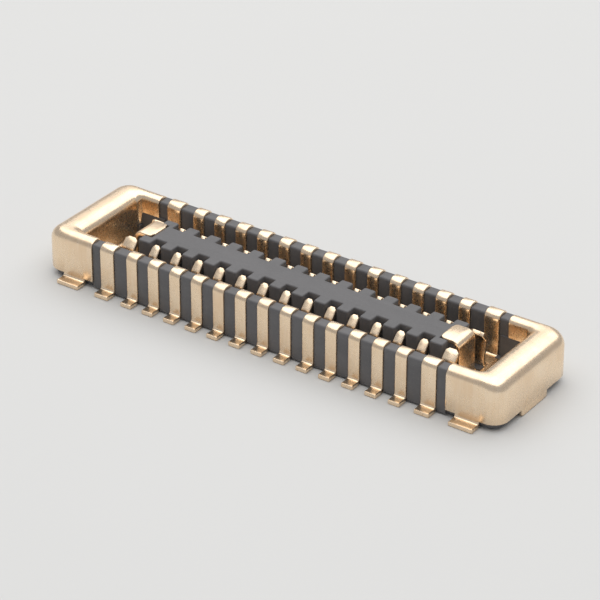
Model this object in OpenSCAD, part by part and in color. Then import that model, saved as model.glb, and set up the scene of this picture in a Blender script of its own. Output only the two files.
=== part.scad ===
// Two-row fine-pitch receptacle that joins a flexible printed circuit to a board.
// A narrow moulded housing with a centre island carries two rows of formed strip
// contacts, and a folded metal fitting wraps each end.
// X runs along the rows, Y across them, Z up from the circuit that it is soldered to.
// Units: millimetres. Origin: centre of the footprint, at the soldering plane.

/* [Overall] */
// length over the two end fittings
body_length = 7.10; // [7.00:0.01:7.40]
// width over the outer legs of the contacts
body_width = 1.68; // [1.64:0.01:1.80]
// height above the soldering plane
body_height = 0.70; // [0.66:0.01:0.80]
// width over the tips of the solder tails
tail_span = 1.98; // [1.92:0.01:2.20]
// gap between the underside of the housing and the soldering plane
standoff = 0.03; // [0.02:0.005:0.04]

/* [Contacts] */
// distance between neighbouring contacts
pitch = 0.35; // [0.34:0.002:0.354]
// width of a contact where it wraps the side wall
contact_width = 0.17; // [0.14:0.005:0.20]
// width of the spring arm beside the island
spring_width = 0.13; // [0.10:0.005:0.14]
// thickness of the sheet that contacts and fittings are formed from
sheet = 0.06; // [0.05:0.005:0.065]
// centreline radius of the bends in a contact
bend_radius = 0.065; // [0.055:0.005:0.07]
// height of the contact point on the spring arm
spring_point_z = 0.47; // [0.42:0.01:0.50]

/* [End fittings] */
// width of the half-round rim across each end
end_rim = 0.46; // [0.40:0.01:0.50]
// width of the rim along each side
side_rim = 0.22; // [0.20:0.005:0.23]
// distance from the end of the body to the tip of a side arm
arm_length = 0.79; // [0.70:0.01:0.80]
// rounding radius of the end rim, outer edge
end_round_out = 0.20; // [0.14:0.01:0.22]
// rounding radius of the end rim, inner edge
end_round_in = 0.17; // [0.12:0.01:0.18]
// rounding radius of the side rims, outer edge
side_round_out = 0.12; // [0.08:0.01:0.13]
// rounding radius of the side rims, inner edge
side_round_in = 0.085; // [0.07:0.005:0.09]
// width of the power arm that crosses the side wall
power_width = 0.22; // [0.18:0.01:0.24]
// distance of the power arm from the centre of the rows
power_x = 2.51; // [2.49:0.005:2.53]
// width of the tongue over the end of the island
tongue_width = 0.38; // [0.30:0.01:0.40]

/* [Island] */
// width of the island over the ribs between the springs
island_width = 0.66; // [0.60:0.01:0.68]
// height of the island above the soldering plane
island_top = 0.65; // [0.62:0.01:0.66]
// thickness of the web in the middle of the island
island_web = 0.36; // [0.30:0.01:0.38]

/* [Hidden] */
positions = 13;
two = function (i) str(i < 10 ? "0" : "", i);
rows = ["front", "rear"];

dark_grey = [0.20, 0.20, 0.21];
gold = [0.83, 0.66, 0.42];

half_l = body_length / 2;
half_w = body_width / 2;
top = body_height;
t = sheet;
bend_step = 15;                        // degrees per facet of a small bend
round_step = 7.5;                      // and of a wide rounding
under = top - t;                       // underside of the sheet over the walls
rim_in_x = half_l - end_rim;           // inner face of the end rim
rim_in_y = half_w - side_rim;          // inner face of the side rims and inner legs
arm_tip_x = half_l - arm_length;
leg_out = half_w - t / 2;              // centre of an outer leg
leg_in = rim_in_y + t / 2;             // centre of an inner leg
strip_z = 0.05 + t / 2;                // centre of the strips in the floor
floor_top = 0.12;
spring_y = island_width / 2 - 0.01;    // centre of a spring arm at its foot
point_y = spring_y + 0.055;            // centre of a spring arm at its contact point
tip_y = island_web / 2 + 0.075;        // centre of a spring arm at its tip
tip_z = 0.60;
tail_tip = tail_span / 2;
rib_out = half_w - 0.02;               // outer face of the ribs between contacts
rib_in = rim_in_y + 0.02;              // inner face of those ribs
rib_top = top - 0.035;
nose_y = island_web / 2 + 0.01;        // half width of the island's end
nose_x = power_x - 0.02;               // end face of the island, under the tongue
shoulder_x = power_x - power_width / 2 - 0.02;
cap_z = island_top + 0.02 - t / 2;     // centre of the tongue over the island
cap_tip_x = 2.25;
plate_y = 0.56;                        // half width of the fitting's floor plate
power_edge = power_x + power_width / 2;
lining_z = 0.30;                       // where the folded lining gives way to the plate
flange_z = 0.42;                       // lower edge of the side arms' inner flange
skirt_z = 0.10;                        // lower edge of the outer skirts

// Rounds the outline (x, y) of an XZ or YZ section: arc points about c from angle a to b.
function arc(c, r, a, b) =
  let (n = max(1, ceil(abs(b - a) / (r > 0.10 ? round_step : bend_step))))
  [for (k = [0:n]) c + r * [cos(a + (b - a) * k / n), sin(a + (b - a) * k / n)]];

// A formed strip, seen edge on: p is a list of [u, v, bend radius] along its centreline.
function heading(p, i) = atan2(p[i + 1][1] - p[i][1], p[i + 1][0] - p[i][0]);
function turn(p, i) =
  let (a = heading(p, i) - heading(p, i - 1)) a > 180 ? a - 360 : a < -180 ? a + 360 : a;
function strip_edge(p, side) =
  let (last = len(p) - 1)
  [for (i = [0:last]) each
    i == 0 ? [[p[0][0], p[0][1]] + side * t / 2 * [-sin(heading(p, 0)), cos(heading(p, 0))]]
    : i == last ? [[p[i][0], p[i][1]] + side * t / 2 * [-sin(heading(p, i - 1)), cos(heading(p, i - 1))]]
    : let (a = heading(p, i - 1), b = turn(p, i), s = sign(b), r = p[i][2],
           back = r * tan(abs(b) / 2),
           c = [p[i][0], p[i][1]] - back * [cos(a), sin(a)] + s * r * [-sin(a), cos(a)])
      arc(c, r - side * s * t / 2, a - s * 90, a - s * 90 + b)];
function backwards(v) = [for (i = [len(v) - 1:-1:0]) v[i]];

module strip(p) polygon(concat(strip_edge(p, 1), backwards(strip_edge(p, -1))));

// Extrudes a section along X (u to Y, v to Z) or along Y (u to X, v to Z), centred.
module along_x(len) rotate([90, 0, 90]) linear_extrude(len, center = true) children();
module along_y(len) rotate([90, 0, 0]) linear_extrude(len, center = true) children();
module box(x0, x1, y0, y1, z0, z1) translate([x0, y0, z0]) cube([x1 - x0, y1 - y0, z1 - z0]);
module both_sides() { children(); mirror([0, 1, 0]) children(); }
module both_ends() { children(); mirror([1, 0, 0]) children(); }

// From the tail tip, up the outside of the wall, over it, down, across the moat
// and up beside the island to the sprung contact point.
contact_path = [
  [tail_tip, t / 2, 0],
  [leg_out, t / 2, bend_radius],
  [leg_out, top - t / 2, bend_radius],
  [leg_in, top - t / 2, bend_radius],
  [leg_in, strip_z, bend_radius],
  [spring_y, strip_z, bend_radius],
  [spring_y, strip_z + 0.17, 0.12],
  [point_y, spring_point_z, 0.06],
  [tip_y, tip_z, 0]
];

// Wall that a contact wraps: its top follows the inside of the two bends.
module wall_section() {
  r = bend_radius - t / 2;
  a = leg_in + t / 2;
  b = leg_out - t / 2;
  polygon(concat([[b, standoff]], arc([b - r, under - r], r, 0, 90),
                 arc([a + r, under - r], r, 90, 180), [[a, standoff]]));
}

module rib_section() {
  r = 0.035;
  polygon(concat([[rib_out, standoff]], arc([rib_out - r, rib_top - r], r, 0, 90),
                 arc([rib_in + r, rib_top - r], r, 90, 180), [[rib_in, standoff]]));
}

// Solid of one end's rim, g inside the outer face of the fitting, from x0 to the end.
module rim(g, x0) {
  l = half_l - g;
  w = half_w - g;
  h = top - g;
  c = side_rim;
  ro = side_round_out - g;
  re = end_round_out - g;
  ri = end_round_in - g;
  rs = side_round_in - g;
  corner = concat([[0, 0], [c - g, 0]], arc([c - g - ro, h - ro], ro, 0, 90), [[0, h]]);
  wall = concat([[-0.1, 0]], [for (i = [1:len(corner) - 2]) corner[i]], [[-0.1, h]]);
  difference() {
    intersection() {
      union() {
        box(x0, half_l - c, -(half_w - c), half_w - c, 0, h);
        translate([(x0 + half_l - c) / 2, half_w - c, 0]) along_x(half_l - c - x0) polygon(wall);
        mirror([0, 1, 0])
          translate([(x0 + half_l - c) / 2, half_w - c, 0]) along_x(half_l - c - x0) polygon(wall);
        translate([half_l - c, 0, 0]) along_y(2 * (half_w - c)) polygon(wall);
        both_sides() translate([half_l - c, half_w - c, 0])
          rotate_extrude(start = -2, angle = 94, $fn = 72) polygon(corner);
      }
      along_y(4) polygon(concat([[x0 - 1, -1], [l, -1]], arc([l - re, h - re], re, 0, 90), [[x0 - 1, h]]));
    }
    intersection() {
      along_y(4) polygon(concat([[x0 - 1, 1.5], [x0 - 1, -1], [rim_in_x + g, -1]],
                                backwards(arc([rim_in_x + g + ri, h - ri], ri, 90, 180)),
                                [[rim_in_x + g + ri, 1.5]]));
      translate([x0, 0, 0])
        along_x(8) polygon(concat(
          [[-rim_in_y - g - rs, 1.5]], arc([-rim_in_y - g - rs, h - rs], rs, 90, 0),
          [[-rim_in_y - g, -1], [rim_in_y + g, -1]],
          backwards(arc([rim_in_y + g + rs, h - rs], rs, 90, 180)), [[rim_in_y + g + rs, 1.5]]));
    }
  }
}

module end_fitting() color(gold) {
  // shell over the end wall and the ends of the side walls
  difference() {
    rim(0, arm_tip_x);
    rim(t, arm_tip_x - 0.5);
    box(arm_tip_x - 1, half_l + 1, -1, 1, -1, skirt_z);
    box(arm_tip_x - 1, rim_in_x, -rim_in_y - t, rim_in_y + t, -1, flange_z);
    box(rim_in_x - 0.01, rim_in_x + t + 0.01, -rim_in_y - t, rim_in_y + t, -1, lining_z);
  }
  // hold-down tab on the end, and a solder foot on each side
  box(half_l - t, half_l, -0.30, 0.30, 0, skirt_z + 0.10);
  both_sides() translate([half_l - 0.475, 0, 0]) along_x(0.35)
    strip([[tail_tip, t / 2, 0], [leg_out, t / 2, bend_radius], [leg_out, skirt_z + 0.15, 0]]);
  // lining, floor plate, and the tongue that rises over the island
  along_y(tongue_width) strip([
    [rim_in_x + t / 2, lining_z + 0.10, 0], [rim_in_x + t / 2, strip_z, 0.08],
    [nose_x + t / 2, strip_z, 0.07], [nose_x + t / 2, cap_z, 0.09], [cap_tip_x, cap_z, 0]]);
  along_y(2 * plate_y) strip([
    [rim_in_x + t / 2, lining_z + 0.10, 0], [rim_in_x + t / 2, strip_z, 0.08],
    [power_edge, strip_z, 0]]);
  // power arm on each side, formed like a contact
  both_sides() {
    translate([power_x, 0, 0]) along_x(power_width) strip(contact_path);
    box(power_x, power_edge + 0.05, spring_y + bend_radius + 0.01, plate_y, strip_z - t / 2, strip_z + t / 2);
  }
}

module end_fitting_right() end_fitting();
module end_fitting_left() mirror([1, 0, 0]) end_fitting();

// One contact, whole strip at full width, with the spring arm narrowed.
module contact(row, i) color(gold)
  translate([(i - (positions + 1) / 2) * pitch, 0, 0]) mirror([0, row == "front" ? 1 : 0, 0])
    difference() {
      along_x(contact_width) strip(contact_path);
      both_ends() box(spring_width / 2, 1, 0, spring_y + 0.12, strip_z + t, 1);
    }

module island() {
  bevel = 0.03;
  section = [[-island_width / 2, standoff], [island_width / 2, standoff],
             [island_width / 2, island_top - bevel], [island_width / 2 - bevel, island_top],
             [bevel - island_width / 2, island_top], [-island_width / 2, island_top - bevel]];
  difference() {
    union() {
      along_x(2 * shoulder_x) polygon(section);
      box(-nose_x, nose_x, -nose_y, nose_y, standoff, island_top - 0.01);
    }
    // seat of each tongue, and its bend at the corner
    both_ends() {
      box(cap_tip_x, 3, -tongue_width / 2, tongue_width / 2, cap_z - t / 2, 1);
      difference() {
        box(nose_x - 0.06, 3, -0.5, 0.5, cap_z - t / 2 - 0.06, 1);
        along_y(2)
          polygon(concat([[0, 0], [nose_x, 0]],
                         arc([nose_x - 0.06, cap_z - t / 2 - 0.06], 0.06, 0, 90),
                         [[0, cap_z - t / 2]]));
      }
    }
  }
}

// Opening in the floor and wall foot for one strip of width w at x, and the room
// in the island that its spring arm moves into.
module strip_slot(x, w) both_sides() {
  box(x - w / 2, x + w / 2, spring_y - t / 2, leg_in + t / 2, -1, 1);
  box(x - w / 2, x + w / 2, island_web / 2, leg_in, floor_top, 1);
}

module housing() color(dark_grey) difference() {
  union() {
    // end walls and the walls under the side arms
    both_ends() {
      intersection() {
        rim(t, arm_tip_x - 0.05);
        box(arm_tip_x - 0.05, 4, -2, 2, standoff, 2);
      }
      both_sides() {
        box(arm_tip_x - 0.10, rim_in_x, rim_in_y, half_w - t, standoff, flange_z);
        box(rim_in_x - 0.05, rim_in_x + t, plate_y, half_w - t, standoff, lining_z);
      }
      // rib between the power arm and the side arm, and between it and the last contact
      both_sides() {
        translate([(power_x + power_width / 2 + arm_tip_x) / 2, 0, 0])
          along_x(arm_tip_x - power_x - power_width / 2) rib_section();
        translate([((positions - 1) / 2 * pitch + contact_width / 2 + power_x - power_width / 2) / 2, 0, 0])
          along_x(power_x - power_width / 2 - (positions - 1) / 2 * pitch - contact_width / 2) rib_section();
      }
    }
    // side walls that the contacts wrap, with a rib between neighbours
    both_sides() {
      along_x(2 * arm_tip_x) wall_section();
      for (i = [1:positions - 1])
        translate([(i - positions / 2) * pitch, 0, 0]) along_x(pitch - contact_width) rib_section();
    }
    // floor
    box(-rim_in_x - t, rim_in_x + t, -leg_in - t / 2, leg_in + t / 2, standoff, floor_top);
    island();
  }
  for (i = [1:positions]) strip_slot((i - (positions + 1) / 2) * pitch, contact_width);
  both_ends() {
    strip_slot(power_x, power_width);
    // opening that the fitting's floor plate and the foot of its tongue lie in
    box(power_edge, rim_in_x + t, -plate_y, plate_y, -1, flange_z - 0.02);
    box(nose_x, power_edge + 0.01, -tongue_width / 2, tongue_width / 2, -1, flange_z - 0.02);
    box(nose_x, 3, -plate_y, plate_y, floor_top, flange_z - 0.02);
  }
}

housing();
end_fitting_left();
end_fitting_right();
for (r = rows) for (i = [1:positions])
  contact(r, i);
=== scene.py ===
import math

import bmesh
import bpy
import numpy as np
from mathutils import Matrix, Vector


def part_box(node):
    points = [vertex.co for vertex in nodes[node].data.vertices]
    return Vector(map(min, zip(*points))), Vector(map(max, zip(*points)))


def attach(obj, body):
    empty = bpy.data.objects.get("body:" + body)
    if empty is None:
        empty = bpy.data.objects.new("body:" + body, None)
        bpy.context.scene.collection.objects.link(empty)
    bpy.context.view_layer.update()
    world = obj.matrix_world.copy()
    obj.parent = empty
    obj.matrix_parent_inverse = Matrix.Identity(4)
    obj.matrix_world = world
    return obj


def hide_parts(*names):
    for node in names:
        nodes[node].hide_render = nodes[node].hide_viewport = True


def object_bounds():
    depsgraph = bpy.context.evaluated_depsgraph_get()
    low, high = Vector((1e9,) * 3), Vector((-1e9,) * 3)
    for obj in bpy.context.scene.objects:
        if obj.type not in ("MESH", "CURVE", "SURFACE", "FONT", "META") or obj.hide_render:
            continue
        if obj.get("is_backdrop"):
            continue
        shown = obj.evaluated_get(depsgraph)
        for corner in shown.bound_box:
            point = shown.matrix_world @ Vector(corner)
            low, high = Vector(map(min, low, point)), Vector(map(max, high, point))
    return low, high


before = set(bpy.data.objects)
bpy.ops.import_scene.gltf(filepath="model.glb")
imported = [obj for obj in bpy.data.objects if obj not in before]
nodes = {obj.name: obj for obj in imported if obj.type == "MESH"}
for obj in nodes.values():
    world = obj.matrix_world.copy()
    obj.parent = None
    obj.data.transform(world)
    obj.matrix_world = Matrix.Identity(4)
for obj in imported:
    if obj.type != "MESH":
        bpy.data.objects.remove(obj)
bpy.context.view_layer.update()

# ---------------------------------------------------------------- sizes
# Millimetres, read off the frame's boxes where a box gives them. The rest repeat the
# part's own derived sizes. Meshes are built in millimetres and scaled at the end.
MM = 1000.0
fit_lo, fit_hi = (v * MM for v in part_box("end_fitting_right"))
con_lo, con_hi = (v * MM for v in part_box("contact_rear_07"))
hou_lo, hou_hi = (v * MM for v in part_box("housing"))
POSITIONS = 13
HALF_L = fit_hi.x
TOP = fit_hi.z
TAIL_TIP = con_hi.y
T = 0.06                                   # sheet
HALF_W = hou_hi.y + 0.02                   # outer face of the legs and of the side arms
STANDOFF = hou_lo.z
WIDE = con_hi.x - con_lo.x                 # contact where it wraps the wall
SPRING = 0.13
END_RIM, SIDE_RIM = 0.46, 0.22
RIM_X, RIM_Y = HALF_L - END_RIM, HALF_W - SIDE_RIM
ARM_TIP = HALF_L - 0.79
LEG_OUT, LEG_IN = HALF_W - T / 2, RIM_Y + T / 2
STRIP_Z = 0.05 + T / 2
BEND = 0.065
UNDER = TOP - T
POWER_X, POWER_W = 2.51, 0.22
POWER_EDGE = POWER_X + POWER_W / 2
ISLAND_W, ISLAND_TOP, WEB = 0.66, 0.65, 0.36
SPRING_Y = ISLAND_W / 2 - 0.01
POINT_Y, POINT_Z = SPRING_Y + 0.055, 0.47
TIP_Y, TIP_Z = WEB / 2 + 0.075, 0.60
NOSE_X, NOSE_Y, SHOULDER_X = POWER_X - 0.02, WEB / 2 + 0.01, POWER_X - POWER_W / 2 - 0.02
CAP_Z, CAP_TIP = ISLAND_TOP + 0.02 - T / 2, 2.25
TONGUE_W, PLATE_Y = 0.38, 0.56
RIB_OUT, RIB_IN, RIB_TOP = HALF_W - 0.02, RIM_Y + 0.02, TOP - 0.035
FLOOR_TOP, SKIRT_Z, FLANGE_Z, LINING_Z = 0.12, 0.10, 0.42, 0.30
centres = [(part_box(f"contact_rear_{i:02d}")[0].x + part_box(f"contact_rear_{i:02d}")[1].x) / 2 * MM
           for i in range(1, POSITIONS + 1)]

CONTACT_PATH = [
    (TAIL_TIP, T / 2, 0), (LEG_OUT, T / 2, BEND), (LEG_OUT, TOP - T / 2, BEND),
    (LEG_IN, TOP - T / 2, BEND), (LEG_IN, STRIP_Z, BEND), (SPRING_Y, STRIP_Z, BEND),
    (SPRING_Y, STRIP_Z + 0.17, 0.12), (POINT_Y, POINT_Z, 0.06), (TIP_Y, TIP_Z, 0)]


# ---------------------------------------------------------------- mesh helpers
def mesh_from(name, verts, faces):
    """A closed mesh in millimetres, its normals turned outwards."""
    bm = bmesh.new()
    made = [bm.verts.new(v) for v in verts]
    for f in faces:
        bm.faces.new([made[i] for i in f])
    bm.normal_update()
    bmesh.ops.recalc_face_normals(bm, faces=bm.faces)
    me = bpy.data.meshes.new(name)
    bm.to_mesh(me)
    bm.free()
    return me


def signed_area(poly):
    x, y = np.array(poly).T
    return 0.5 * float(np.sum(x * np.roll(y, -1) - np.roll(x, -1) * y))


def fillet(corners, steps=4):
    """corners is [(u, v, radius)] of a closed outline; returns its points with the corners rounded."""
    out, n = [], len(corners)
    for i, (u, v, r) in enumerate(corners):
        p = np.array((u, v), float)
        if r <= 0:
            out.append(tuple(p))
            continue
        a = np.array(corners[i - 1][:2], float) - p
        b = np.array(corners[(i + 1) % n][:2], float) - p
        a, b = a / np.linalg.norm(a), b / np.linalg.norm(b)
        half = math.acos(max(-1, min(1, float(a @ b)))) / 2
        back = r / math.tan(half)
        centre = p + (a + b) / np.linalg.norm(a + b) * (r / math.sin(half))
        s, e = p + a * back - centre, p + b * back - centre
        a0 = math.atan2(s[1], s[0])
        d = (math.atan2(e[1], e[0]) - a0 + math.pi) % (2 * math.pi) - math.pi
        for k in range(steps + 1):
            w = a0 + d * k / steps
            out.append((centre[0] + r * math.cos(w), centre[1] + r * math.sin(w)))
    return out


def inset(poly, d):
    """The closed outline moved inwards by d."""
    if d == 0:
        return [tuple(p) for p in poly]
    p = np.array(poly, float)
    sense = 1 if signed_area(poly) > 0 else -1
    e0 = p - np.roll(p, 1, axis=0)
    e1 = np.roll(p, -1, axis=0) - p
    e0 /= np.maximum(np.linalg.norm(e0, axis=1, keepdims=True), 1e-12)
    e1 /= np.maximum(np.linalg.norm(e1, axis=1, keepdims=True), 1e-12)
    n0, n1 = np.c_[-e0[:, 1], e0[:, 0]] * sense, np.c_[-e1[:, 1], e1[:, 0]] * sense
    m = n0 + n1
    m /= np.maximum((m * n0).sum(1, keepdims=True), 0.3)
    return [tuple(q) for q in p + m * d]


def rounded_levels(a, b, ra, rb, steps=3):
    """(position, inset) of the rings of a prism from a to b whose ends are rounded with radii ra and rb."""
    low = [(a + ra - ra * math.sin(w), ra - ra * math.cos(w))
           for w in (math.pi / 2 * (1 - k / steps) for k in range(steps + 1))] if ra else [(a, 0)]
    high = [(b - rb + rb * math.sin(w), rb - rb * math.cos(w))
            for w in (math.pi / 2 * k / steps for k in range(steps + 1))] if rb else [(b, 0)]
    return low + high


def prism(name, poly, axis, levels):
    """Solid with outline poly across an axis: (y, z) for x, (x, z) for y, (x, y) for z."""
    order = {"x": lambda u, v, w: (w, u, v), "y": lambda u, v, w: (u, w, v),
             "z": lambda u, v, w: (u, v, w)}[axis]
    n, verts, faces = len(poly), [], []
    for w, d in levels:
        verts += [order(u, v, w) for u, v in inset(poly, d)]
    for k in range(len(levels) - 1):
        for i in range(n):
            j = (i + 1) % n
            faces.append((k * n + i, k * n + j, (k + 1) * n + j, (k + 1) * n + i))
    faces.append(tuple(range(n)))
    faces.append(tuple(range((len(levels) - 1) * n, len(levels) * n)))
    return mesh_from(name, verts, faces)


def block(name, x0, x1, y0, y1, z0, z1, r=0.0, steps=2, top_only=False):
    """Box with rounded upright edges and rounded top edges."""
    poly = fillet([(x0, y0, r), (x1, y0, r), (x1, y1, r), (x0, y1, r)], steps)
    return prism(name, poly, "z", rounded_levels(z0, z1, 0 if top_only else r * 0.8, r * 0.8, steps))


def centreline(path, fine=0.02, arc=7.0):
    """Points and left-hand normals along a bent strip's centreline, from [(u, v, bend radius)]."""
    pts, nor = [], []

    def add(p, n):
        if not pts or np.linalg.norm(p - pts[-1]) > 1e-6:
            pts.append(p)
            nor.append(n)

    p = [np.array(q[:2], float) for q in path]
    head = [(b - a) / np.linalg.norm(b - a) for a, b in zip(p, p[1:])]
    left = [np.array((-h[1], h[0])) for h in head]
    start = p[0]
    for i in range(1, len(p)):
        if i < len(p) - 1:
            turn = math.atan2(head[i - 1][0] * head[i][1] - head[i - 1][1] * head[i][0],
                              float(head[i - 1] @ head[i]))
            s, r = math.copysign(1, turn), path[i][2]
            back = r * math.tan(abs(turn) / 2)
            stop = p[i] - head[i - 1] * back
        else:
            stop = p[i]
        n = max(1, int(np.linalg.norm(stop - start) / fine))
        for k in range(n + 1):
            add(start + (stop - start) * k / n, left[i - 1])
        if i < len(p) - 1:
            c = stop + left[i - 1] * s * r
            m = max(2, int(math.ceil(abs(math.degrees(turn)) / arc)))
            for k in range(1, m + 1):
                a = turn * k / m
                nn = left[i - 1] * math.cos(a) - head[i - 1] * math.sin(a)
                add(c - nn * s * r, nn)
            start = pts[-1]
    return np.array(pts), np.array(nor)


def strip(name, path, width, place, edge=0.014, corner=3, fine=0.03, arc=9.0, thick=None):
    """A formed strip: the centreline swept with a section whose long edges are rounded.
    width(s, length, point) gives its width there, and place(u, v, w) puts it in the frame."""
    pts, nor = centreline(path, fine, arc)
    along = np.concatenate([[0], np.cumsum(np.linalg.norm(np.diff(pts, axis=0), axis=1))])
    n, verts, faces = len(pts), [], []
    tt = T if thick is None else thick
    ring = 4 * (corner + 1)
    rows = []
    for i in range(n):
        w = width(along[i], along[-1], pts[i]) / 2
        rows.append((pts[i], nor[i], w, tt / 2, edge))
    # the two ends are rounded over the sheet's thickness
    head0, head1 = pts[1] - pts[0], pts[-1] - pts[-2]
    head0, head1 = head0 / np.linalg.norm(head0), head1 / np.linalg.norm(head1)
    e = edge * 0.8
    rows[0] = (pts[0] + head0 * e, nor[0], rows[0][2], tt / 2, edge)
    rows[-1] = (pts[-1] - head1 * e, nor[-1], rows[-1][2], tt / 2, edge)
    first = [(pts[0], nor[0], rows[0][2] - e, tt / 2 - e, edge * 0.4),
             (pts[0] + head0 * e * 0.3, nor[0], rows[0][2] - e * 0.3, tt / 2 - e * 0.3, edge * 0.8)]
    last = [(pts[-1] - head1 * e * 0.3, nor[-1], rows[-1][2] - e * 0.3, tt / 2 - e * 0.3, edge * 0.8),
            (pts[-1], nor[-1], rows[-1][2] - e, tt / 2 - e, edge * 0.4)]
    rows = first + rows + last
    for p, m, w, h, r in rows:
        for cx, cz, a0 in ((w - r, h - r, 0), (-w + r, h - r, 90), (-w + r, -h + r, 180), (w - r, -h + r, 270)):
            for k in range(corner + 1):
                a = math.radians(a0 + 90 * k / corner)
                x, z = cx + r * math.cos(a), cz + r * math.sin(a)
                q = p + m * z
                verts.append(place(q[0], q[1], x))
    for i in range(len(rows) - 1):
        for k in range(ring):
            j = (k + 1) % ring
            faces.append((i * ring + k, i * ring + j, (i + 1) * ring + j, (i + 1) * ring + k))
    faces.append(tuple(range(ring)))
    faces.append(tuple(range((len(rows) - 1) * ring, len(rows) * ring)))
    return mesh_from(name, verts, faces)


def smooth_step(x):
    x = max(0.0, min(1.0, x))
    return x * x * (3 - 2 * x)


# ---------------------------------------------------------------- joining solids
def as_object(name, me):
    o = bpy.data.objects.new(name, me)
    bpy.context.scene.collection.objects.link(o)
    return o


def combine(name, base, add=(), cut=()):
    """base with the solids in add joined on and those in cut taken away, as one closed mesh."""
    base_o = as_object(name, base)
    groups, used = [], []
    for kind, meshes in (("UNION", add), ("DIFFERENCE", cut)):
        for k, me in enumerate(meshes):
            o = as_object(f"{name}_{kind.lower()}_{k}", me)
            used.append(o)
            mod = base_o.modifiers.new(f"{kind}{k}", "BOOLEAN")
            mod.operation, mod.object, mod.solver = kind, o, "MANIFOLD"
    bpy.context.view_layer.update()
    dg = bpy.context.evaluated_depsgraph_get()
    made = bpy.data.meshes.new_from_object(base_o.evaluated_get(dg), depsgraph=dg)
    for o in [base_o, *used]:
        me = o.data
        bpy.data.objects.remove(o)
        bpy.data.meshes.remove(me)
    made.name = name
    return made


def mirrored(me, axis, name=None):
    """A copy of a mesh on the other side of x = 0 or y = 0."""
    other = me.copy()
    other.name = name or me.name + "_m"
    co = np.empty(len(other.vertices) * 3, np.float32)
    other.vertices.foreach_get("co", co)
    co = co.reshape(-1, 3)
    co[:, {"x": 0, "y": 1}[axis]] *= -1
    other.vertices.foreach_set("co", co.ravel())
    other.flip_normals()
    other.update()
    return other


def both_sides(me):
    return [me, mirrored(me, "y")]


def finish_mesh(me, angle=32.0, weld=2e-4):
    """Cleans a joined mesh, scales it to metres and sets which edges stay sharp."""
    bm = bmesh.new()
    bm.from_mesh(me)
    bmesh.ops.remove_doubles(bm, verts=bm.verts, dist=weld)
    bmesh.ops.dissolve_degenerate(bm, edges=bm.edges, dist=weld)
    if any(len(e.link_faces) != 2 for e in bm.edges):
        bm.free()
        bm = bmesh.new()
        bm.from_mesh(me)
    for v in bm.verts:
        v.co /= MM
    bm.normal_update()
    bm.to_mesh(me)
    bm.free()
    for p in me.polygons:
        p.use_smooth = True
    me.set_sharp_from_angle(angle=math.radians(angle))
    me.update()
    return me


def piece(name, me, material, cad_node, weighted=True):
    o = as_object(name, me)
    me.materials.clear()
    me.materials.append(material)
    if weighted:
        mod = o.modifiers.new("weighted", "WEIGHTED_NORMAL")
        mod.keep_sharp, mod.weight, mod.mode = True, 60, "FACE_AREA"
    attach(o, "root")
    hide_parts(cad_node)
    return o


# ---------------------------------------------------------------- end fitting
def rim_stations(n_arm=10, n_corner=14, n_end=16):
    """(outer point, outward normal, inner point, its normal into the recess, share of the way from the side's
    section to the end's) round the rim of the right end, from the front arm's tip to y = 0, then mirrored."""
    ri, out = 0.07, []
    xa = RIM_X - ri
    for k in range(n_arm):
        x = ARM_TIP + (xa - ARM_TIP) * k / n_arm
        out.append(((x, -HALF_W), (0, -1), (x, -RIM_Y), (0, 1), 0.0))
    run = [(xa, -HALF_W, 0, -1)]
    c = (HALF_L - SIDE_RIM, -(HALF_W - SIDE_RIM))
    line = c[0] - xa
    arc = SIDE_RIM * math.pi / 2
    tail = RIM_Y - ri - (HALF_W - SIDE_RIM)
    y_stop = -(RIM_Y - ri)
    total = line + arc + (abs(c[1]) - abs(y_stop))
    for k in range(n_corner + 1):
        f = k / n_corner
        s = f * total
        if s <= line:
            o, no = (xa + s, -HALF_W), (0, -1)
        elif s <= line + arc:
            a = (s - line) / SIDE_RIM
            no = (math.sin(a), -math.cos(a))
            o = (c[0] + SIDE_RIM * no[0], c[1] + SIDE_RIM * no[1])
        else:
            o, no = (HALF_L, c[1] + (s - line - arc)), (1, 0)
        a = f * math.pi / 2
        ni = (-math.sin(a), math.cos(a))
        i = (xa - ri * ni[0], y_stop - ri * ni[1])
        out.append((o, no, i, ni, smooth_step(f)))
    for k in range(1, n_end + 1):
        y = y_stop * (1 - k / n_end)
        out.append(((HALF_L, y), (1, 0), (RIM_X, y), (-1, 0), 1.0))
    other = [((o[0], -o[1]), (no[0], -no[1]), (i[0], -i[1]), (ni[0], -ni[1]), f)
             for o, no, i, ni, f in reversed(out[:-1])]
    return out + other


def rim_profile(st, g, low_out, low_in, arc_steps=9):
    """Section of the rim at a station, g inside its outer surface, from the outer skirt's edge over the top
    to the inner wall's edge."""
    o, no, i, ni, f = st
    o = np.array(o, float) - g * np.array(no, float)
    i = np.array(i, float) - g * np.array(ni, float)
    top = TOP - g
    ro = 0.12 + f * (0.20 - 0.12) - g
    ri = 0.085 + f * (0.17 - 0.085) - g
    d = i - o
    length = float(np.linalg.norm(d))
    d /= length
    pts = [(0.0, low_out), (0.0, low_out + (top - ro - low_out) * 0.5)]
    pts += [(ro - ro * math.cos(a), top - ro + ro * math.sin(a))
            for a in (math.pi / 2 * k / arc_steps for k in range(arc_steps + 1))]
    pts += [(ro + (length - ro - ri) * 0.5, top)]
    pts += [(length - ri + ri * math.sin(a), top - ri + ri * math.cos(a))
            for a in (math.pi / 2 * k / arc_steps for k in range(arc_steps + 1))]
    pts += [(length, low_in)]
    return [(o[0] + d[0] * u, o[1] + d[1] * u, z) for u, z in pts]


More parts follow.
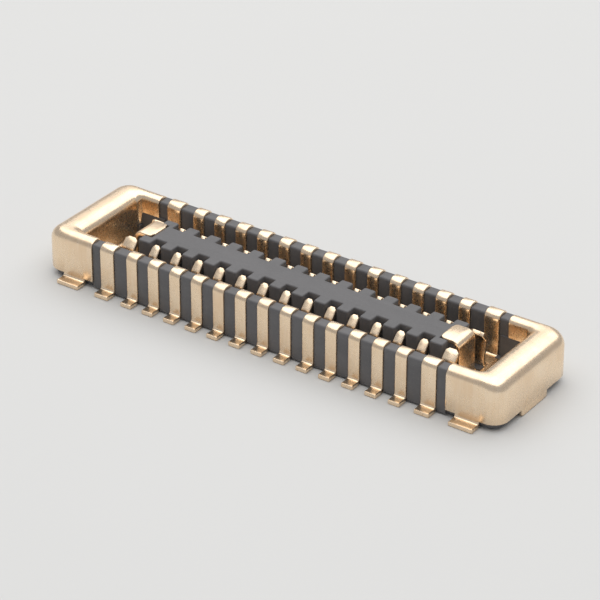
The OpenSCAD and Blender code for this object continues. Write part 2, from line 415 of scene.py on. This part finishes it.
def rim_shell(name):
    """The folded cover of one end, a sheet of even thickness."""
    st = rim_stations()
    n = len(st)

    def low_in(k):
        f = st[k][4]
        return FLANGE_Z + (LINING_Z - 0.06 - FLANGE_Z) * smooth_step((f - 0.05) / 0.4)

    outer = [rim_profile(s, 0.0, SKIRT_Z, low_in(k)) for k, s in enumerate(st)]
    inner = [rim_profile(s, T, SKIRT_Z, low_in(k)) for k, s in enumerate(st)]
    m = len(outer[0])
    verts = [p for row in outer for p in row] + [p for row in inner for p in row]
    base = n * m
    faces = []
    for a in range(n - 1):
        for b in range(m - 1):
            q = (a * m + b, (a + 1) * m + b, (a + 1) * m + b + 1, a * m + b + 1)
            faces.append(q)
            faces.append(tuple(base + v for v in reversed(q)))
        for b in (0, m - 1):
            faces.append((a * m + b, (a + 1) * m + b, base + (a + 1) * m + b, base + a * m + b))
    for a in (0, n - 1):
        for b in range(m - 1):
            faces.append((a * m + b, a * m + b + 1, base + a * m + b + 1, base + a * m + b))
    return mesh_from(name, verts, faces)


def rim_solid(name, g, low):
    """What fills the rim, g inside its outer surface: the housing's end wall."""
    st = rim_stations()
    rows = [rim_profile(s, g, low, low) for s in st]
    n, m = len(rows), len(rows[0])
    verts = [p for row in rows for p in row]
    faces = []
    for a in range(n - 1):
        for b in range(m):
            c = (b + 1) % m
            faces.append((a * m + b, (a + 1) * m + b, (a + 1) * m + c, a * m + c))
    faces.append(tuple(range(m)))
    faces.append(tuple(range((n - 1) * m, n * m)))
    return mesh_from(name, verts, faces)


def bevelled(me, width, angle=50, segments=2):
    """The mesh with its sharp edges rounded."""
    o = as_object("to_bevel", me)
    mod = o.modifiers.new("edge", "BEVEL")
    mod.width, mod.segments, mod.limit_method = width, segments, "ANGLE"
    mod.angle_limit = math.radians(angle)
    mod.use_clamp_overlap = True
    dg = bpy.context.evaluated_depsgraph_get()
    made = bpy.data.meshes.new_from_object(o.evaluated_get(dg), depsgraph=dg)
    bpy.data.objects.remove(o)
    bpy.data.meshes.remove(me)
    return made


def rounded_end(width, radius, start=False, finish=True):
    """Width of a strip whose corners at one end or both are rounded in its own plane."""
    def at(s, length, _):
        w = width
        for on, d in ((start, s), (finish, length - s)):
            if on and d < radius:
                w = min(w, width - 2 * (radius - math.sqrt(max(0.0, radius ** 2 - (radius - d) ** 2))))
        return w
    return at


def fitting(name):
    shell = bevelled(rim_shell(name), 0.012)
    in_xz = lambda y: (lambda u, v, w: (u, y + w, v))
    in_yz = lambda x, s=1: (lambda u, v, w: (x + w, s * u, v))
    add = []
    # tongue over the end of the island, and the floor plate that it and the power arms grow from
    add.append(strip("tongue", [(RIM_X + T / 2, LINING_Z + 0.10, 0), (RIM_X + T / 2, STRIP_Z, 0.08),
                                (NOSE_X + T / 2, STRIP_Z, 0.07), (NOSE_X + T / 2, CAP_Z, 0.09),
                                (CAP_TIP, CAP_Z, 0)],
                     rounded_end(TONGUE_W, 0.07), in_xz(0.0), fine=0.02, arc=6))
    add.append(strip("plate", [(RIM_X + T / 2, LINING_Z + 0.10, 0), (RIM_X + T / 2, STRIP_Z, 0.08),
                               (POWER_EDGE, STRIP_Z, 0)],
                     lambda s, length, p: 2 * PLATE_Y, in_xz(0.0), arc=6))
    for side in (1, -1):
        add.append(strip("power", CONTACT_PATH, power_width, in_yz(POWER_X, side), arc=7))
        add.append(block("web", POWER_X, POWER_EDGE + 0.05, *sorted((side * (SPRING_Y + BEND + 0.01), side * PLATE_Y)),
                         STRIP_Z - T / 2, STRIP_Z + T / 2, 0.008))
        add.append(strip("foot", [(TAIL_TIP, T / 2, 0), (LEG_OUT, T / 2, BEND), (LEG_OUT, SKIRT_Z + 0.15, 0)],
                         lambda s, length, p: 0.35, in_yz(HALF_L - 0.475, side), arc=7))
    add.append(strip("tab", [(HALF_L - T / 2, 0.0, 0), (HALF_L - T / 2, SKIRT_Z + 0.10, 0)],
                     rounded_end(0.60, 0.04, start=True, finish=False), lambda u, v, w: (u, w, v), fine=0.01, thick=T - 0.002))
    return combine(name, shell, add)


def power_width(s, length, p):
    inner = p[0] < SPRING_Y + 0.10
    f = smooth_step((p[1] - STRIP_Z - 0.03) / 0.06) if inner else 0.0
    w = POWER_W - 0.02 * f
    d = length - s
    if d < 0.05:
        w -= 2 * (0.05 - math.sqrt(max(0.0, 0.05 ** 2 - (0.05 - d) ** 2))) * 0.8
    return w


def contact_width(s, length, p):
    inner = p[0] < SPRING_Y + 0.10
    f = smooth_step((p[1] - STRIP_Z - 0.03) / 0.06) if inner else 0.0
    w = WIDE + (SPRING - WIDE) * f
    d = length - s
    if d < 0.035:
        w -= 2 * (0.035 - math.sqrt(max(0.0, 0.035 ** 2 - (0.035 - d) ** 2))) * 0.8
    return w


def contact(name, x, side):
    return strip(name, CONTACT_PATH, contact_width, lambda u, v, w: (x + w, side * u, v), fine=0.035, arc=8)


# ---------------------------------------------------------------- housing
def comb(half_len, positions, tooth, web, slot_w, r_out=0.030, r_in=0.010):
    """Plan of the island: a web with a tooth between neighbouring springs, on both sides."""
    edge = []
    xs = sorted(positions)
    y0, y1 = web / 2, tooth / 2
    edge.append((-half_len, y1, r_out))
    for x in xs:
        edge += [(x - slot_w / 2, y1, r_out), (x - slot_w / 2, y0, r_in),
                 (x + slot_w / 2, y0, r_in), (x + slot_w / 2, y1, r_out)]
    edge.append((half_len, y1, r_out))
    return edge + [(-x, -y, r) for x, y, r in edge]


def housing():
    r = BEND - T / 2
    wall_in, wall_out = LEG_IN + T / 2, LEG_OUT - T / 2
    wall = fillet([(wall_in, STANDOFF, 0), (wall_out, STANDOFF, 0), (wall_out, UNDER, r), (wall_in, UNDER, r)], 6)
    rib = fillet([(RIB_IN, STANDOFF, 0), (RIB_OUT, STANDOFF, 0), (RIB_OUT, RIB_TOP, 0.035), (RIB_IN, RIB_TOP, 0.035)], 5)
    slot = WIDE + 0.0
    add = []
    # island, with the room for each spring arm
    island = prism("island", fillet(comb(SHOULDER_X, centres, ISLAND_W, WEB, slot), 3), "z",
                   rounded_levels(STANDOFF, ISLAND_TOP, 0, 0.026, 4))
    seat = block("seat", CAP_TIP, 3.0, -TONGUE_W / 2 - 0.004, TONGUE_W / 2 + 0.004, CAP_Z - T / 2, 1.0)
    nose = prism("nose", fillet([(SHOULDER_X - 0.1, STANDOFF, 0), (NOSE_X, STANDOFF, 0), (NOSE_X, CAP_Z - T / 2, 0.06),
                                 (SHOULDER_X - 0.1, CAP_Z - T / 2, 0)], 6), "y",
                 rounded_levels(-NOSE_Y, NOSE_Y, 0.012, 0.012, 2))
    for side in (1, -1):
        w = prism("wall", wall, "x", [(-ARM_TIP - 0.02, 0), (ARM_TIP + 0.02, 0)])
        add.append(w if side > 0 else mirrored(w, "y"))
        spans = [((centres[i] + WIDE / 2), (centres[i + 1] - WIDE / 2)) for i in range(POSITIONS - 1)]
        edge = centres[-1] + WIDE / 2
        spans += [(edge, POWER_X - POWER_W / 2), (-POWER_X + POWER_W / 2, -edge),
                  (POWER_EDGE, ARM_TIP), (-ARM_TIP, -POWER_EDGE)]
        for a, b in spans:
            p = prism("rib", rib, "x", rounded_levels(a, b, 0.012, 0.012, 2))
            add.append(p if side > 0 else mirrored(p, "y"))
    floor = block("floor", -RIM_X - T, RIM_X + T, -LEG_IN - T / 2, LEG_IN + T / 2, STANDOFF, FLOOR_TOP)
    end = rim_solid("end", T, STANDOFF)
    add += [end, mirrored(end, "x")]
    for side in (1, -1):
        for s in (1, -1):
            xs, ys = sorted((side * (ARM_TIP - 0.10), side * RIM_X)), sorted((s * RIM_Y, s * (HALF_W - T)))
            add.append(block("step", *xs, *ys, STANDOFF, FLANGE_Z, 0))
            xs, ys = sorted((side * (RIM_X - 0.05), side * (RIM_X + T))), sorted((s * PLATE_Y, s * (HALF_W - T)))
            add.append(block("low_step", *xs, *ys, STANDOFF, LINING_Z - 0.06, 0))
    add += [nose, mirrored(nose, "x"), island]
    cut = [seat, mirrored(seat, "x")]
    for s in (1, -1):
        for x in centres:
            ys = sorted((s * (SPRING_Y - T / 2), s * (LEG_IN + T / 2)))
            cut.append(block("through", x - WIDE / 2, x + WIDE / 2, *ys, -1, 0.35, 0))
        for x in (POWER_X, -POWER_X):
            ys = sorted((s * (SPRING_Y - T / 2), s * (LEG_IN + T / 2)))
            cut.append(block("through", x - POWER_W / 2, x + POWER_W / 2, *ys, -1, 0.35, 0))
            ys = sorted((s * WEB / 2, s * LEG_IN))
            cut.append(block("room", x - POWER_W / 2, x + POWER_W / 2, *ys, FLOOR_TOP, 1, 0))
    for side in (1, -1):
        xs = sorted((side * POWER_EDGE, side * (RIM_X + T)))
        cut.append(block("under", *xs, -PLATE_Y, PLATE_Y, -1, FLANGE_Z - 0.02, 0))
        xs = sorted((side * NOSE_X, side * (POWER_EDGE + 0.01)))
        cut.append(block("under2", *xs, -TONGUE_W / 2, TONGUE_W / 2, -1, FLANGE_Z - 0.02, 0))
        xs = sorted((side * NOSE_X, side * 3.0))
        cut.append(block("open", *xs, -PLATE_Y, PLATE_Y, FLOOR_TOP, FLANGE_Z - 0.02, 0))
    return combine("housing_body", floor, add, cut)


# ---------------------------------------------------------------- materials
def tree(name):
    m = bpy.data.materials.new(name)
    m.use_nodes = True
    nt = m.node_tree
    nt.nodes.clear()
    out = nt.nodes.new("ShaderNodeOutputMaterial")
    bsdf = nt.nodes.new("ShaderNodeBsdfPrincipled")
    nt.links.new(bsdf.outputs["BSDF"], out.inputs["Surface"])
    return m, nt, bsdf


def coords(nt, scale=(1, 1, 1)):
    tc = nt.nodes.new("ShaderNodeTexCoord")
    mp = nt.nodes.new("ShaderNodeMapping")
    mp.inputs["Scale"].default_value = scale
    nt.links.new(tc.outputs["Object"], mp.inputs["Vector"])
    return mp.outputs["Vector"]


def noise(nt, vector, scale, detail=3.0, rough=0.55, distort=0.0):
    n = nt.nodes.new("ShaderNodeTexNoise")
    n.inputs["Scale"].default_value = scale
    n.inputs["Detail"].default_value = detail
    n.inputs["Roughness"].default_value = rough
    n.inputs["Distortion"].default_value = distort
    nt.links.new(vector, n.inputs["Vector"])
    return n.outputs["Fac"]


def remap(nt, value, a, b, lo, hi):
    n = nt.nodes.new("ShaderNodeMapRange")
    n.inputs["From Min"].default_value, n.inputs["From Max"].default_value = a, b
    n.inputs["To Min"].default_value, n.inputs["To Max"].default_value = lo, hi
    nt.links.new(value, n.inputs["Value"])
    return n.outputs["Result"]


def mix(nt, factor, a, b):
    n = nt.nodes.new("ShaderNodeMix")
    n.data_type = "RGBA"
    nt.links.new(factor, n.inputs["Factor"])
    for socket, v in ((n.inputs["A"], a), (n.inputs["B"], b)):
        if isinstance(v, tuple):
            socket.default_value = (*v, 1.0)
        else:
            nt.links.new(v, socket)
    return n.outputs["Result"]


def math_node(nt, op, a, b):
    n = nt.nodes.new("ShaderNodeMath")
    n.operation = op
    for socket, v in zip(n.inputs, (a, b)):
        if isinstance(v, (int, float)):
            socket.default_value = v
        else:
            nt.links.new(v, socket)
    return n.outputs["Value"]


def bump(nt, height, distance, strength=1.0, below=None):
    n = nt.nodes.new("ShaderNodeBump")
    n.inputs["Distance"].default_value = distance
    n.inputs["Strength"].default_value = strength
    nt.links.new(height, n.inputs["Height"])
    if below is not None:
        nt.links.new(below, n.inputs["Normal"])
    return n.outputs["Normal"]


def gold():
    m, nt, b = tree("gilt_sheet")
    here = coords(nt)
    streak = coords(nt, (1.0, 0.10, 0.10))
    cloud = noise(nt, here, 2200, 3, 0.6)
    fine = noise(nt, here, 26000, 2, 0.5)
    lines = noise(nt, streak, 42000, 2, 0.5)
    tone = mix(nt, remap(nt, cloud, 0.32, 0.70, 0, 1), (0.93, 0.74, 0.53), (0.87, 0.66, 0.45))
    tone = mix(nt, remap(nt, lines, 0.35, 0.75, 0, 0.35), tone, (0.97, 0.82, 0.65))
    nt.links.new(tone, b.inputs["Base Color"])
    b.inputs["Metallic"].default_value = 1.0
    rough = math_node(nt, "ADD", remap(nt, cloud, 0.3, 0.7, 0.22, 0.32), remap(nt, fine, 0.3, 0.7, -0.03, 0.05))
    nt.links.new(rough, b.inputs["Roughness"])
    n1 = bump(nt, cloud, 2.5e-6, 0.5)
    n2 = bump(nt, lines, 0.5e-6, 0.5, n1)
    n3 = bump(nt, fine, 0.45e-6, 0.5, n2)
    nt.links.new(n3, b.inputs["Normal"])
    return m


def plastic():
    m, nt, b = tree("filled_plastic")
    here = coords(nt)
    flow = coords(nt, (0.25, 1.0, 1.0))
    cloud = noise(nt, flow, 3000, 4, 0.6, 0.4)
    grain = noise(nt, here, 30000, 3, 0.6)
    speck = noise(nt, here, 60000, 1, 0.5)
    tone = mix(nt, remap(nt, cloud, 0.3, 0.72, 0, 1), (0.088, 0.086, 0.088), (0.125, 0.121, 0.124))
    tone = mix(nt, remap(nt, speck, 0.62, 0.78, 0, 0.5), tone, (0.20, 0.195, 0.19))
    nt.links.new(tone, b.inputs["Base Color"])
    rough = math_node(nt, "ADD", remap(nt, cloud, 0.3, 0.7, 0.42, 0.52), remap(nt, grain, 0.3, 0.7, -0.05, 0.06))
    nt.links.new(rough, b.inputs["Roughness"])
    n1 = bump(nt, cloud, 3e-6, 0.4)
    n2 = bump(nt, grain, 1.6e-6, 0.7, n1)
    nt.links.new(n2, b.inputs["Normal"])
    b.inputs["IOR"].default_value = 1.55
    return m


def floor_material():
    m, nt, b = tree("pale_floor")
    here = coords(nt)
    cloud = noise(nt, here, 120, 2, 0.5)
    tone = mix(nt, cloud, (0.62, 0.62, 0.61), (0.64, 0.64, 0.63))
    nt.links.new(tone, b.inputs["Base Color"])
    b.inputs["Roughness"].default_value = 0.7
    b.inputs["Specular IOR Level"].default_value = 0.25
    return m


# ---------------------------------------------------------------- pieces
GOLD, PLASTIC = gold(), plastic()
piece("housing_body", finish_mesh(housing()), PLASTIC, "housing")
right = finish_mesh(fitting("end_fitting_right_form"))
left = mirrored(right, "x", "end_fitting_left_form")
piece("end_fitting_right_form", right, GOLD, "end_fitting_right")
piece("end_fitting_left_form", left, GOLD, "end_fitting_left")
for row, side in (("front", -1), ("rear", 1)):
    for i, x in enumerate(centres, 1):
        me = finish_mesh(contact(f"contact_{row}_{i:02d}_form", x, side))
        piece(me.name, me, GOLD, f"contact_{row}_{i:02d}")

# ---------------------------------------------------------------- floor
def sweep_floor(half=0.16, back=0.10, rise=0.0):
    bm = bmesh.new()
    n = 24
    rows = [[bm.verts.new((-half + 2 * half * i / n, -half + 2 * half * j / n, -2e-6)) for i in range(n + 1)]
            for j in range(n + 1)]
    for j in range(n):
        for i in range(n):
            bm.faces.new((rows[j][i], rows[j][i + 1], rows[j + 1][i + 1], rows[j + 1][i]))
    me = bpy.data.meshes.new("studio_floor")
    bm.to_mesh(me)
    bm.free()
    o = as_object("studio_floor", me)
    me.materials.append(floor_material())
    return o


sweep_floor(0.5)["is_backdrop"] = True

# ---------------------------------------------------------------- light
def soft_box(name, azimuth, elevation, distance, size, radiance, colour=(1, 1, 1)):
    """A soft box towards azimuth (0 is +X, 90 is +Y) and elevation, facing the object."""
    light = bpy.data.lights.new(name, "AREA")
    light.shape = "RECTANGLE"
    light.size, light.size_y = size
    light.energy = radiance * math.pi * size[0] * size[1]
    light.color = colour
    o = bpy.data.objects.new(name, light)
    bpy.context.scene.collection.objects.link(o)
    a, e = math.radians(azimuth), math.radians(elevation)
    d = Vector((math.cos(e) * math.cos(a), math.cos(e) * math.sin(a), math.sin(e)))
    o.location = d * distance
    o.rotation_mode = "QUATERNION"
    o.rotation_quaternion = d.to_track_quat("Z", "Y")
    return o


soft_box("top_box", 110, 76, 0.060, (0.120, 0.120), 1.45, (1.0, 0.99, 0.97))

world = bpy.data.worlds.new("studio")
bpy.context.scene.world = world
world.use_nodes = True
bg = world.node_tree.nodes["Background"]
bg.inputs["Color"].default_value = (0.95, 0.96, 1.0, 1.0)
bg.inputs["Strength"].default_value = 0.45

# ---------------------------------------------------------------- camera
AZIMUTH, ELEVATION, LENS, REACH = 35.0, 30.0, 180.0, 7.75
lo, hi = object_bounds()
centre = (lo + hi) / 2
cam_data = bpy.data.cameras.new("camera")
cam_data.lens, cam_data.sensor_width = LENS, 36.0
cam = bpy.data.objects.new("camera", cam_data)
bpy.context.scene.collection.objects.link(cam)
a, e = math.radians(AZIMUTH), math.radians(ELEVATION)
back = Vector((math.sin(a) * math.cos(e), -math.cos(a) * math.cos(e), math.sin(e)))
cam.location = centre + back * (REACH / MM * LENS / 36.0)
cam.rotation_mode = "QUATERNION"
cam.rotation_quaternion = (-back).to_track_quat("-Z", "Y")
cam_data.clip_start, cam_data.clip_end = 0.001, 10.0
bpy.context.scene.camera = cam
bpy.context.scene.view_settings.view_transform = "Standard"
